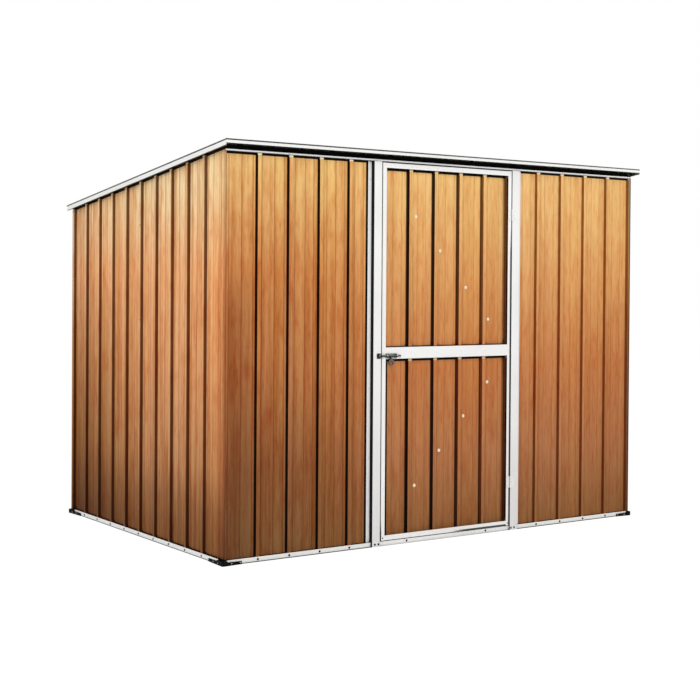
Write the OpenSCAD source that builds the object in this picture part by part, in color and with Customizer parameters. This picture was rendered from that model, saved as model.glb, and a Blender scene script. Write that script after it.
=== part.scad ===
// Skillion garden shed in ribbed sheet steel, with folded steel channels, trims and door frame.
// The walls stand in base channels, the mono-pitch roof falls to the rear, and one hinged door
// with a barrel bolt opens outwards.
//
// Every wall is drawn in its own plan: u runs along the wall and v runs inwards, with the faces
// of the ribs at v = 0 and the pans between them at v = rib_h. The roof is drawn in a frame that
// lies on the top of its trims: u to the right, v down the slope and w up from it.

/* [Walls] */
// Width over the ribs of the side walls
wall_w = 2661; // [2400:1:3200]
// Depth over the ribs of the front and rear walls
wall_d = 1812; // [1500:1:2200]
// Height to the top of the roof trim at the front
front_h = 2003; // [1900:1:2400]
// Fall of the roof towards the rear, in degrees
roof_pitch = 7; // [4:0.5:12]

/* [Cladding] */
// Thickness of the cladding sheet
skin_t = 0.8; // [0.6:0.1:1.2]
// Height of a rib above the pans
rib_h = 12; // [8:0.5:16]
// Width of a rib across its face
rib_face = 21; // [14:1:30]
// Width of each sloping flank of a rib
rib_flank = 7; // [4:0.5:10]
// Spacing of the ribs on the walls and roof
rib_pitch = 175.2; // [150:0.1:200]
// First rib of the front and rear walls, from the corner
front_first_rib = 167.5; // [120:0.5:180]
// First rib of the side walls, from the corner
side_first_rib = 202; // [120:1:210]
// First rib to the right of the door, from the edge of its post
right_first_rib = 127; // [60:1:150]
// First rib of the roof, from its left edge
roof_first_rib = 90; // [40:1:170]
// Leg folded behind the neighbouring sheet at a corner
return_leg = 15; // [8:1:16]
// Share of a rib's flank that the upper sheet covers at a lap
lap_share = 0.7; // [0.4:0.05:0.9]

/* [Channels] */
// Thickness of the folded frame sections
frame_t = 1.2; // [1:0.1:2]
// Radius inside the bends of all folded sections
bend_r = 1; // [0.5:0.25:2]
// Width of the base and top channels
channel_w = 32; // [26:1:45]
// Height of the base channel's lips
base_lip = 25; // [20:1:35]
// Depth of the outer lip of the top channels
top_lip = 10; // [8:1:20]
// Depth of the inner lip of the top channels
top_inner_lip = 25; // [15:1:35]
// Distance from the side cladding to the base channel of the front or rear wall
front_cut = 2.2; // [1:0.1:15]
// Distance from the front and rear base channels to those of the side walls
side_cut = 18; // [5:1:40]
// Radius of the lips' upper corners at the ends of the base channels
lip_round = 8; // [2:1:15]
// Height of the closure strip between a top channel and the roof, at the outside
closure_h = 25; // [15:1:35]
// Thickness of the closure strip
closure_t = 14; // [8:1:18]

/* [Corner caps] */
// Leg of a corner cap along the front and rear walls
cap_front_leg = 96; // [60:1:150]
// Leg of a corner cap along the side walls
cap_side_leg = 143; // [60:1:180]
// Thickness of the cap at the ends of its legs
cap_t = 3; // [2:0.5:5]
// Distance the cap stands out from the ribs at the corner itself
cap_out = 13; // [8:1:20]
// Radius of the cap's outer corner
cap_round = 9; // [4:1:15]
// Height of the cap's legs
cap_h = 15; // [10:1:20]
// Height of the cap at the corner itself
cap_corner_h = 22; // [16:1:25]

/* [Roof] */
// Overhang of the roof beyond the front ribs
front_overhang = 49; // [45:1:80]
// Overhang of the roof beyond the rear ribs
rear_overhang = 28; // [20:1:80]
// Overhang of the roof beyond the side ribs
side_overhang = 24; // [20:1:60]
// Depth of the front and rear roof trims
front_trim_h = 22; // [18:1:40]
// Depth of the side roof trims
side_trim_h = 31; // [24:1:45]
// Flange of the roof trims over the sheets
trim_flange = 28; // [18:1:40]
// Lip turned in at the lower edge of the roof trims
trim_return = 10; // [5:1:15]
// Depth of the purlin under the middle of the roof
purlin_h = 38; // [25:1:60]
// Width of the purlin
purlin_w = 42; // [30:1:60]

/* [Door opening] */
// Left edge of the door opening, from the corner
opening_x = 893; // [700:1:950]
// Width of the door opening
opening_w = 862; // [700:1:900]
// Width of a door post across its face
post_face = 52; // [35:1:60]
// Width of the flange that laps the cladding
post_flange = 22; // [15:1:30]
// Distance the post and door faces stand out from the ribs
post_proud = 8; // [4:1:14]
// Width of the door stop behind the leaf
stop_w = 14; // [8:1:20]

/* [Door leaf] */
// Gap round the door leaf
door_gap = 5; // [4:0.5:8]
// Depth of the door frame's channels
leaf_t = 25; // [22:1:30]
// Width of the stiles
stile_w = 23; // [18:1:40]
// Height of the top and bottom rails
rail_h = 25; // [18:1:40]
// Height of the middle rail
mid_rail_h = 59; // [40:1:80]
// Height of the middle rail's centre above the ground
mid_rail_z = 979; // [800:1:1200]
// First rib of the door sheet, from the leaf's edge
door_first_rib = 167.5; // [100:0.5:180]
// Spacing of the ribs on the door sheet
door_rib_pitch = 163.4; // [140:0.1:180]
// Width of the diagonal braces
brace_w = 30; // [20:1:40]
// Depth of the diagonal braces
brace_h = 10; // [6:1:16]
// Height from a rail or the middle of the door to the end of a brace
brace_inset = 45; // [30:1:80]

/* [Hinges and bolt] */
// Length of a hinge
hinge_l = 62; // [40:1:90]
// Distance from a hinge's centre to the end of the door
hinge_inset = 235; // [120:1:400]
// Radius of the hinge knuckles
knuckle_r = 4; // [3:0.5:6]
// Radius of the hinge pins
pin_r = 2; // [1.5:0.25:3]
// Thickness of the hinge leaves and bolt plates
leaf_plate = 1.5; // [1:0.1:2.5]
// Width of a hinge leaf
hinge_leaf_w = 26; // [18:1:34]
// Radius of the corners of the hinge leaves and bolt plates
plate_round = 4; // [1:0.5:6]
// Radius of the bolt's bar
bar_r = 4.5; // [3:0.5:6]
// Length of the bolt's bar
bar_l = 118; // [110:1:130]
// Travel of the bolt
bolt_throw = 18; // [15:1:20]
// Distance of the bolt's axis below the centre of the middle rail
bolt_drop = 13; // [5:1:15]
// Length of the bolt's plate
plate_l = 70; // [60:1:90]
// Height of the bolt's plate and keeper
plate_h = 28; // [24:1:40]
// Length of each guide on the bolt's plate
guide_l = 6; // [4:0.5:10]
// Length of the keeper's plate
keeper_l = 24; // [20:1:30]
// Length of the keeper's staple
keeper_staple_l = 14; // [8:1:18]
// Outer radius of the padlock eye
eye_r = 17; // [12:1:20]
// Radius of the hole in the padlock eye
eye_hole_r = 9; // [5:0.5:12]
// Thickness of the padlock eye
eye_t = 4; // [3:0.5:6]
// Distance of the padlock eye below the bar
eye_drop = 34; // [28:1:45]
// Width of the neck between bar and eye
neck_w = 8; // [5:0.5:12]

/* [Fits] */
// Clearance of pieces that slip inside one another
sheet_clear = 0.3; // [0.1:0.05:0.6]
// Clearance between two nested sheets
lap_clear = 0.05; // [0.05:0.05:0.3]
// Width of the cladding's edge behind a door post
tuck = 6; // [4:1:12]
// Clearance of the hinge pins in their knuckles
pin_clear = 0.2; // [0.1:0.05:0.5]
// Gap between the knuckles of a hinge
knuckle_gap = 0.5; // [0.3:0.1:1]
// Clearance of the bar in its guides
bar_clear = 0.5; // [0.3:0.1:1]

/* [Hidden] */
$fn = 32;

timber = "peru";
white = "whitesmoke";
black = "dimgray";
zinc = "silver";

// Roof frame
box_w = wall_w + 2 * side_overhang;
box_d = wall_d + front_overhang + rear_overhang;
trim_lean = side_trim_h * sin(roof_pitch);
roof_y = -front_overhang + trim_lean;
roof_l = (box_d - trim_lean) / cos(roof_pitch);
roof_top = frame_t;
roof_pack = roof_top + rib_h + skin_t;
// The sheets rest on the bends of the channels and are clear of those of the trims
sheet_foot = frame_t + bend_r;
side_drop = roof_pack + sheet_foot + sheet_clear;
// The front and rear base channels start inside the side cladding
front_base = rib_h + skin_t + front_cut;
trim_clear = frame_t + bend_r + sheet_clear;
side_channel_lean = (roof_pack + top_inner_lip) * sin(roof_pitch);
side_channel_v0 = (channel_w + sheet_clear + side_channel_lean - roof_y) / cos(roof_pitch);
side_channel_v1 = (wall_d - channel_w - sheet_clear - roof_y) / cos(roof_pitch);

// Heights of the horizontal top channels, at their upper faces
front_top_z = roof_z(-frame_t, roof_pack) - closure_h;
rear_top_z = roof_z(wall_d + frame_t, roof_pack) - closure_h;
front_sheet_h = front_top_z - 2 * sheet_foot - sheet_clear;
rear_sheet_h = rear_top_z - 2 * sheet_foot - sheet_clear;

// A sheet nested under another: how deep its face lies, how far its corner and its foot move
// sideways with the flank, and where on the rib it starts
flank_angle = atan2(rib_h, rib_flank);
nest = skin_t + lap_clear;
nest_shift = nest * tan(flank_angle / 2);
nest_foot = nest / sin(flank_angle);
nest_start = 3;

// Door leaf
opening_x1 = opening_x + opening_w;
leaf_x0 = opening_x + door_gap;
leaf_x1 = opening_x1 - door_gap;
threshold_lip = base_lip - 1;
leaf_z0 = threshold_lip + door_gap;
leaf_z1 = front_top_z - top_lip - door_gap;
leaf_rear = leaf_t - post_proud;
door_rib_v = leaf_rear - frame_t - skin_t - rib_h;
door_edge = frame_t + bend_r + sheet_clear;

// Hinge and bolt axes
hinge_x = opening_x1 - door_gap / 2;
hinge_y = -post_proud - knuckle_r - knuckle_gap;
hinge_zs = [leaf_z0 + hinge_inset, leaf_z1 - hinge_inset];
knuckle_l = (hinge_l - 2 * knuckle_gap) / 3;
bolt_z = mid_rail_z - bolt_drop;
bolt_y = -post_proud - leaf_plate - bar_r - bar_clear;
guide_r = bar_r + bar_clear + leaf_plate;
bar_chamfer = 1;
plate_edge = 1;
eye_gap = 2;
plate_x = leaf_x0 + stile_w;
eye_x = plate_x + plate_edge + guide_l + eye_gap + neck_w / 2 + bolt_throw;
keeper_edge = 3;
keeper_x = opening_x - keeper_edge - keeper_l;
staple_x = keeper_x + (keeper_l - keeper_staple_l) / 2;

// Rib layout
rib_w = 2 * rib_flank + rib_face;
front_left_last = floor((opening_x - post_face - post_flange - front_first_rib - rib_w) / rib_pitch);
front_right_last =
    floor((wall_w - opening_x1 - post_face - right_first_rib - rib_flank) / rib_pitch);
rear_last = floor((wall_w - front_first_rib - 2 * rib_flank) / rib_pitch);
side_last = floor((wall_d - side_first_rib - 2 * rib_flank) / rib_pitch);
roof_last = floor((box_w - roof_first_rib - rib_w - trim_flange) / rib_pitch);
door_last = floor((leaf_x1 - leaf_x0 - door_first_rib - 2 * rib_flank) / door_rib_pitch);
rear_laps = [round((rear_last + 1) / 3) - 1, round(2 * (rear_last + 1) / 3) - 1];
roof_laps = [round((roof_last + 1) / 3), round(2 * (roof_last + 1) / 3)];
side_lap = floor(side_last / 2);
function front_rib(i) = front_first_rib + i * rib_pitch;
function right_rib(i) = opening_x1 + post_face + right_first_rib + i * rib_pitch;
function side_rib(i) = side_first_rib + i * rib_pitch;
function roof_rib(i) = roof_first_rib + i * rib_pitch;

// Height at depth y of a plane that lies drop below the tops of the roof trims
function roof_z(y, drop) = front_h - (y - roof_y) * tan(roof_pitch) - drop / cos(roof_pitch);

// An open line of points thickened by t on its left side, with mitred folds
function unit(p) = p / norm(p);
function left_of(a, b) = let (d = unit(b - a)) [-d.y, d.x];
function fold(pts, i, t) =
    i == 0 ? pts[0] + t * left_of(pts[0], pts[1]) :
    i == len(pts) - 1 ? pts[i] + t * left_of(pts[i - 1], pts[i]) :
    let (n1 = left_of(pts[i - 1], pts[i]), n2 = left_of(pts[i], pts[i + 1]))
    pts[i] + (n1 + n2) * t / (1 + n1 * n2);
module folded(pts, t) {
    inner = [for (i = [len(pts) - 1:-1:0]) fold(pts, i, t)];
    polygon(concat(pts, inner));
}

// The same line with each fold rounded by a few corners that lie round an arc, so that the bend
// has bend_r inside
function spun(p, angle) = [p.x * cos(angle) - p.y * sin(angle), p.x * sin(angle) + p.y * cos(angle)];
function bend(before, at, after, t, corners) =
    let (
        a = unit(before - at),
        b = unit(after - at),
        side = sign(cross(at - before, after - at)),
        r = side > 0 ? bend_r + t : bend_r,
        half = acos(a * b) / 2,
        centre = at + unit(a + b) * r / sin(half),
        step = (180 - 2 * half) / corners,
        start = (at + a * r / tan(half) - centre) / cos(step / 2)
    )
    [for (k = [0:corners - 1]) centre + spun(start, side * (k + 0.5) * step)];
function bent(pts, t, corners) = [
    pts[0],
    for (i = [1:len(pts) - 2]) each bend(pts[i - 1], pts[i], pts[i + 1], t, corners),
    pts[len(pts) - 1]
];
// Section of a folded frame channel, and plan of a ribbed sheet
module channel(pts) folded(bent(pts, frame_t, 3), frame_t);
module sheet(pts) folded(bent(pts, skin_t, 2), skin_t);

// Outlines of ribs that start at s, with their faces at depth top and the pans rib_h behind
function rib(s, top = 0) = [
    [s, top + rib_h],
    [s + rib_flank, top],
    [s + rib_flank + rib_face, top],
    [s + rib_w, top + rib_h]
];
function ribs(first, pitch, from, to, top = 0) =
    [for (i = [from:1:to]) each rib(first + i * pitch, top)];
// The start of a rib whose face runs on to the corner
function corner_rib(s, top = 0) = [[s, top + rib_h], [s + rib_flank, top]];
// The end of a sheet that laps over the next one, and the start of the sheet nested under it
function lap_over(s, top = 0) = [
    [s, top + rib_h],
    [s + rib_flank, top],
    [s + rib_flank + rib_face, top],
    [s + rib_flank + rib_face + lap_share * rib_flank, top + lap_share * rib_h]
];
function lap_under(s, top = 0) = [
    [s + rib_flank + nest_start, top + nest],
    [s + rib_flank + rib_face - nest_shift, top + nest],
    [s + rib_w - nest_foot, top + rib_h]
];

// Moves the walls, drawn from the front left corner, to the centre of the shed's box
module placed() translate([-wall_w / 2, front_overhang - box_d / 2, 0]) children();
// Turns the plan of the front wall into the plan of the left wall
module side_plan() mirror([1, -1, 0]) children();
// Turns the plans of the front and left walls into those of the rear and right walls
module turned() translate([wall_w, wall_d, 0]) rotate(180) children();
module on_roof() translate([-side_overhang, roof_y, front_h]) rotate([-roof_pitch, 0, 0]) children();

// Cuts its children off at a plane that lies drop below the tops of the roof trims
module under_roof(drop) {
    margin = 100;
    difference() {
        children();
        on_roof() translate([-margin, -margin, -drop])
            cube([box_w + 2 * margin, roof_l + 2 * margin, front_h]);
    }
}
// A section in the plane of v and z, run along u
module along_u(length) rotate([90, 0, 90]) linear_extrude(length) children();
// A rectangle with corners of radius r
module rounded_square(w, h, r) {
    translate([r, 0]) square([w - 2 * r, h]);
    translate([0, r]) square([w, h - 2 * r]);
    for (x = [r, w - r], y = [r, h - r]) translate([x, y]) circle(r);
}
// An upright plate from y to y + t that starts at x and z, with rounded corners
module plate(x, y, z, w, h, t) translate([x, y + t, z]) rotate([90, 0, 0])
    linear_extrude(t) rounded_square(w, h, plate_round);

// ---- Base ----

// Channel with square ends
module base_run(from, to, lip_h = base_lip) translate([from, 0, 0]) along_u(to - from) channel([
    [-frame_t, lip_h],
    [-frame_t, 0],
    [channel_w - frame_t, 0],
    [channel_w - frame_t, lip_h]
]);
// What is cut from the lips to round them, at an end that faces to smaller u
module lip_corner(at) translate([at, 0, base_lip - lip_round]) rotate([90, 0, 0])
    linear_extrude(3 * channel_w, center = true) difference() {
        translate([-1, 0]) square([lip_round + 1, lip_round + 1]);
        translate([lip_round, 0]) circle(lip_round);
    }
module round_end(at) difference() {
    children();
    lip_corner(at);
}
// Channel from one corner of a wall to the other, cut back at each by from
module corner_to_corner(from, length) {
    half = length / 2;
    round_end(from) base_run(from, half);
    translate([length, 0, 0]) mirror([1, 0, 0]) round_end(from) base_run(from, half);
}

module base_channel_front_left() color(white) placed()
    round_end(front_base) base_run(front_base, opening_x - post_face);
module base_channel_front_right() color(white) placed() translate([wall_w, 0, 0]) mirror([1, 0, 0])
    round_end(front_base) base_run(front_base, wall_w - opening_x1 - post_face);
module base_channel_rear() color(white) placed() turned() corner_to_corner(front_base, wall_w);
module side_base_channel() side_plan() corner_to_corner(channel_w + side_cut, wall_d);
module base_channel_left() color(white) placed() side_base_channel();
module base_channel_right() color(white) placed() turned() side_base_channel();
module door_threshold() color(white) placed()
    base_run(opening_x - post_face + frame_t, opening_x1 + post_face - frame_t, threshold_lip);

// Plan of a corner cap: a rounded corner, with a leg that tapers away along each wall
module cap_leg(length) polygon([
    [cap_round - cap_out, -cap_out],
    [length, -frame_t - cap_t],
    [length, 0],
    [cap_round - cap_out, 0]
]);
module cap_plan() difference() {
    union() {
        translate([cap_round - cap_out, cap_round - cap_out]) circle(cap_round);
        cap_leg(cap_front_leg);
        mirror([1, -1]) cap_leg(cap_side_leg);
    }
    translate([-frame_t, -frame_t]) square([wall_w, wall_d]);
}
// Moulded cap round the foot of a corner, higher where the lips stop and with a floor under the
// sheets there
module corner_cap() {
    linear_extrude(cap_h) cap_plan();
    linear_extrude(cap_corner_h) intersection() {
        cap_plan();
        translate([-cap_out, -cap_out]) square([cap_out + front_base, cap_out + channel_w + side_cut]);
    }
    translate([-frame_t, -frame_t, 0])
        cube([front_base + frame_t, channel_w + side_cut + frame_t, sheet_foot]);
}
module corner_caps_front() color(black) placed() {
    corner_cap();
    translate([wall_w, 0, 0]) mirror([1, 0, 0]) corner_cap();
}
module corner_caps_rear() color(black) placed() {
    translate([0, wall_d, 0]) mirror([0, 1, 0]) corner_cap();
    translate([wall_w, wall_d, 0]) rotate(180) corner_cap();
}

// ---- Cladding ----

module upright_sheet(outline, height) translate([0, 0, sheet_foot])
    linear_extrude(height) sheet(outline);

module front_left_sheet() color(timber) placed() upright_sheet(concat(
    [[rib_h, rib_h]],
    ribs(front_first_rib, rib_pitch, 0, front_left_last),
    [[opening_x - post_face - tuck, rib_h]]
), front_sheet_h);
module front_right_sheet() color(timber) placed() upright_sheet(concat(
    [[opening_x1 + post_face + tuck, rib_h]],
    ribs(right_rib(0), rib_pitch, 0, front_right_last - 1),
    corner_rib(right_rib(front_right_last)),
    [[wall_w, 0]]
), front_sheet_h);

module rear_right_sheet() color(timber) placed() turned() upright_sheet(concat(
    [[rib_h, rib_h]],
    ribs(front_first_rib, rib_pitch, 0, rear_laps[0] - 1),
    lap_over(front_rib(rear_laps[0]))
), rear_sheet_h);
module rear_middle_sheet() color(timber) placed() turned() upright_sheet(concat(
    lap_under(front_rib(rear_laps[0])),
    ribs(front_first_rib, rib_pitch, rear_laps[0] + 1, rear_laps[1] - 1),
    lap_over(front_rib(rear_laps[1]))
), rear_sheet_h);
module rear_left_sheet() color(timber) placed() turned() upright_sheet(concat(
    lap_under(front_rib(rear_laps[1])),
    ribs(front_first_rib, rib_pitch, rear_laps[1] + 1, rear_last - 1),
    corner_rib(front_rib(rear_last)),
    [[wall_w, 0]]
), rear_sheet_h);

// The side walls start at a corner where both walls have a pan, and end where both have a rib
side_start = concat(
    [[rib_h + skin_t, rib_h + return_leg], [rib_h + skin_t, rib_h]],
    ribs(side_first_rib, rib_pitch, 0, side_lap - 1),
    lap_over(side_rib(side_lap))
);
side_end = concat(
    lap_under(side_rib(side_lap)),
    ribs(side_first_rib, rib_pitch, side_lap + 1, side_last - 1),
    corner_rib(side_rib(side_last)),
    [[wall_d - skin_t, 0], [wall_d - skin_t, return_leg]]
);
module left_front_sheet() color(timber) placed() under_roof(side_drop)
    side_plan() upright_sheet(side_start, front_h);
module left_rear_sheet() color(timber) placed() under_roof(side_drop)
    side_plan() upright_sheet(side_end, front_h);
module right_rear_sheet() color(timber) placed() under_roof(side_drop)
    turned() side_plan() upright_sheet(side_start, front_h);
module right_front_sheet() color(timber) placed() under_roof(side_drop)
    turned() side_plan() upright_sheet(side_end, front_h);

// ---- Top channels and closures ----

module top_section() channel([
    [channel_w - frame_t, -top_inner_lip],
    [channel_w - frame_t, 0],
    [-frame_t, 0],
    [-frame_t, -top_lip]
]);
// The outer lip runs from corner to corner, and the rest stays inside the side walls
module top_run(z) translate([0, 0, z]) {
    from = rib_h + return_leg + sheet_clear;
    translate([from, 0, 0]) along_u(wall_w - 2 * from) top_section();
    translate([0, -frame_t, -top_lip]) cube([wall_w, frame_t, top_lip]);
}
module top_channel_front() color(white) placed() top_run(front_top_z);
module top_channel_rear() color(white) placed() turned() top_run(rear_top_z);

module side_top_channel() on_roof()
    translate([side_overhang, side_channel_v0, -roof_pack])
    side_plan() along_u(side_channel_v1 - side_channel_v0) top_section();
module top_channel_left() color(white) placed() side_top_channel();
module top_channel_right() color(white) placed()
    translate([wall_w, 0, 0]) mirror([1, 0, 0]) side_top_channel();

// Outline that follows the underside of the roof sheets, deeper under the laps. At a rib the
// corners move inwards by shift as their faces move down by drop
function under_rib(s, drop, foot) =
    let (shift = drop * tan(flank_angle / 2), foot_shift = foot * tan(flank_angle / 2))
    [
        [s + foot_shift, roof_top + rib_h + foot],
        [s + rib_flank + shift, roof_top + drop],
        [s + rib_flank + rib_face - shift, roof_top + drop],
        [s + rib_w - shift - foot_shift, roof_top + rib_h + foot]
    ];
function is_lap(i) = i == roof_laps[0] || i == roof_laps[1];
closure_drop = skin_t + sheet_clear;
closure_line = [
    for (i = [0:roof_last]) each under_rib(roof_rib(i), closure_drop + (is_lap(i) ? nest : 0), closure_drop)
];
module under_roof_sheets() on_roof() rotate([-90, 0, 0]) linear_extrude(roof_l) polygon(concat(
    [[0, front_h], [0, roof_pack + sheet_clear]],
    closure_line,
    [[box_w, roof_pack + sheet_clear], [box_w, front_h]]
));
// Foam strip from a top channel up to the roof sheets and into their ribs
module closure(z) {
    side = rib_h + skin_t + bend_r + sheet_clear;
    translate([side, rib_h + 2 * skin_t + sheet_clear, z])
        cube([wall_w - 2 * side, closure_t, 2 * (closure_h + rib_h)]);
}
module closure_front() color(black) placed() intersection() {
    closure(front_top_z);
    under_roof_sheets();
}
module closure_rear() color(black) placed() intersection() {
    turned() closure(rear_top_z);
    under_roof_sheets();
}

// ---- Roof ----

module roof_sheet(outline) on_roof() translate([0, trim_clear, 0]) rotate([-90, 0, 0])
    linear_extrude(roof_l - 2 * trim_clear) sheet(outline);
module roof_sheet_left() color(white) placed() roof_sheet(concat(
    [[trim_clear, roof_top + rib_h]],
    ribs(roof_first_rib, rib_pitch, 0, roof_laps[0] - 1, roof_top),
    lap_over(roof_rib(roof_laps[0]), roof_top)
));
module roof_sheet_middle() color(white) placed() roof_sheet(concat(
    lap_under(roof_rib(roof_laps[0]), roof_top),
    ribs(roof_first_rib, rib_pitch, roof_laps[0] + 1, roof_laps[1] - 1, roof_top),
    lap_over(roof_rib(roof_laps[1]), roof_top)
));
module roof_sheet_right() color(white) placed() roof_sheet(concat(
    lap_under(roof_rib(roof_laps[1]), roof_top),
    ribs(roof_first_rib, rib_pitch, roof_laps[1] + 1, roof_last, roof_top),
    [[box_w - trim_clear, roof_top + rib_h]]
));
module roof_purlin() color(white) placed() on_roof() {
    from = side_overhang + channel_w - frame_t;
    translate([from, (roof_l - purlin_w) / 2, -roof_pack]) along_u(box_w - 2 * from) channel([
        [purlin_w, -purlin_h],
        [purlin_w, 0],
        [0, 0],
        [0, -purlin_h]
    ]);
}

// Capping channel round the edge of the roof, mitred at both ends
module roof_trim(length, depth) intersection() {
    along_u(length) channel([[trim_flange, 0], [0, 0], [0, -depth], [trim_return, -depth]]);
    translate([0, 0, -depth]) linear_extrude(depth) polygon([
        [0, 0],
        [length, 0],
        [length - trim_flange, trim_flange],
        [trim_flange, trim_flange]
    ]);
}
module roof_trim_front() color(white) placed() on_roof() roof_trim(box_w, front_trim_h);
module roof_trim_rear() color(white) placed() on_roof()
    translate([0, roof_l, 0]) mirror([0, 1, 0]) roof_trim(box_w, front_trim_h);
module roof_trim_left() color(white) placed() on_roof() side_plan() roof_trim(roof_l, side_trim_h);
module roof_trim_right() color(white) placed() on_roof()
    translate([box_w, 0, 0]) mirror([1, 0, 0]) side_plan() roof_trim(roof_l, side_trim_h);

// ---- Door frame ----

// The post's flange laps the cladding and its far edge turns in as the door stop
module door_post() difference() {
    translate([0, 0, frame_t]) linear_extrude(front_sheet_h + bend_r) channel([
        [opening_x - post_face - post_flange, rib_h - frame_t],
        [opening_x - post_face, rib_h - frame_t],
        [opening_x - post_face, -post_proud],
        [opening_x, -post_proud],
        [opening_x, leaf_rear + door_gap],
        [opening_x + stop_w, leaf_rear + door_gap]
    ]);
    // Room for the lip of the top channel
    translate([0, -2 * post_proud, front_top_z - top_lip - sheet_clear])
        cube([wall_w, 2 * post_proud, top_lip + 1]);
    // Room for the lip of the threshold and its bend
    translate([opening_x - post_face + frame_t, -frame_t - sheet_clear, 0])
        cube([post_face, frame_t + bend_r + 2 * sheet_clear, threshold_lip + sheet_clear]);
}
module door_post_left() color(white) placed() door_post();
module door_post_right() color(white) placed()
    translate([opening_x + opening_x1, 0, 0]) mirror([1, 0, 0]) door_post();

// ---- Door leaf ----

module stile() translate([0, 0, leaf_z0]) linear_extrude(leaf_z1 - leaf_z0) channel([
    [leaf_x0 + stile_w, leaf_rear],
    [leaf_x0, leaf_rear],
    [leaf_x0, -post_proud],
    [leaf_x0 + stile_w, -post_proud]
]);
module door_stile_left() color(white) placed() stile();
module door_stile_right() color(white) placed()
    translate([leaf_x0 + leaf_x1, 0, 0]) mirror([1, 0, 0]) stile();

module between_stiles(section) translate([leaf_x0 + stile_w, 0, 0])
    along_u(leaf_x1 - leaf_x0 - 2 * stile_w) channel(section);
module door_top_rail() color(white) placed() between_stiles([
    [leaf_rear, leaf_z1 - rail_h],
    [leaf_rear, leaf_z1],
    [-post_proud, leaf_z1],
    [-post_proud, leaf_z1 - rail_h]
]);
module door_bottom_rail() color(white) placed() between_stiles([
    [-post_proud, leaf_z0 + rail_h],
    [-post_proud, leaf_z0],
    [leaf_rear, leaf_z0],
    [leaf_rear, leaf_z0 + rail_h]
]);
module door_mid_rail() color(white) placed() between_stiles([
    [door_rib_v, mid_rail_z + mid_rail_h / 2],
    [-post_proud, mid_rail_z + mid_rail_h / 2],
    [-post_proud, mid_rail_z - mid_rail_h / 2],
    [door_rib_v, mid_rail_z - mid_rail_h / 2]
]);

// The sheet is held in the leaf's frame by its pans, and its last rib runs on to the hinge stile
module door_sheet() color(timber) placed() translate([leaf_x0, 0, leaf_z0 + door_edge])
    linear_extrude(leaf_z1 - leaf_z0 - 2 * door_edge) sheet(concat(
        [[door_edge, door_rib_v + rib_h]],
        ribs(door_first_rib, door_rib_pitch, 0, door_last - 1, door_rib_v),
        corner_rib(door_first_rib + door_last * door_rib_pitch, door_rib_v),
        [[leaf_x1 - leaf_x0 - door_edge, door_rib_v]]
    ));

// Channel on the back of the door sheet from one point to another
module brace(from, to) translate([from.x, leaf_rear - frame_t, from.y])
    rotate([0, -atan2(to.y - from.y, to.x - from.x), 0]) along_u(norm(to - from)) channel([
        [0, -brace_w / 2],
        [brace_h, -brace_w / 2],
        [brace_h, brace_w / 2],
        [0, brace_w / 2]
    ]);
module door_braces() color(white) placed() {
    side = stile_w + brace_w / 2;
    hinge_end = leaf_x1 - side;
    latch_end = leaf_x0 + side;
    brace([latch_end, leaf_z1 - rail_h - brace_inset], [hinge_end, mid_rail_z + brace_inset]);
    brace([latch_end, leaf_z0 + rail_h + brace_inset], [hinge_end, mid_rail_z - brace_inset]);
}

// ---- Hinges ----

// A hinge leaf to the right of the pin, with its knuckles at the given thirds of the hinge
module hinge_leaf(thirds) {
    leaf_y = -hinge_y - post_proud - leaf_plate;
    difference() {
        union() {
            intersection() {
                plate(-plate_round, leaf_y, 0, hinge_leaf_w + plate_round, hinge_l, leaf_plate);
                translate([knuckle_r + knuckle_gap, leaf_y, 0]) cube([hinge_leaf_w, leaf_plate, hinge_l]);
            }
            for (i = thirds) translate([0, 0, i * (knuckle_l + knuckle_gap)]) {
                cylinder(r = knuckle_r, h = knuckle_l);
                translate([0, leaf_y, 0]) cube([knuckle_r + 2 * knuckle_gap, leaf_plate, knuckle_l]);
            }
        }
        translate([0, 0, -1]) cylinder(r = pin_r + pin_clear, h = hinge_l + 2);
    }
}
module at_hinges() placed() for (z = hinge_zs) translate([hinge_x, hinge_y, z - hinge_l / 2]) children();
module hinge_post_leaves() color(white) at_hinges() {
    hinge_leaf([0, 2]);
    for (i = [0, 2]) translate([0, 0, i * (knuckle_l + knuckle_gap)])
        cylinder(r = pin_r + pin_clear, h = knuckle_l);
    cylinder(r = pin_r, h = hinge_l);
}
module hinge_door_leaves() color(white) at_hinges() mirror([1, 0, 0]) hinge_leaf([1]);

// ---- Bolt ----

// Staple round the bar from x to x + length, standing on a face at -post_proud
module staple(x, length) difference() {
    union() {
        translate([x, bolt_y, bolt_z]) rotate([0, 90, 0]) cylinder(r = guide_r, h = length);
        translate([x, bolt_y, bolt_z - guide_r])
            cube([length, -post_proud - leaf_plate - bolt_y, 2 * guide_r]);
    }
    translate([x - 1, bolt_y, bolt_z]) rotate([0, 90, 0]) cylinder(r = bar_r + bar_clear, h = length + 2);
}
module bolt_back(x, length)
    plate(x, -post_proud - leaf_plate, bolt_z - plate_h / 2, length, plate_h, leaf_plate);
module bolt_plate() color(zinc) placed() {
    bolt_back(plate_x, plate_l);
    staple(plate_x + plate_edge, guide_l);
    staple(plate_x + plate_l - guide_l - plate_edge, guide_l);
}
module bolt_keeper() color(zinc) placed() {
    bolt_back(keeper_x, keeper_l);
    staple(staple_x, keeper_staple_l);
}
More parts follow.
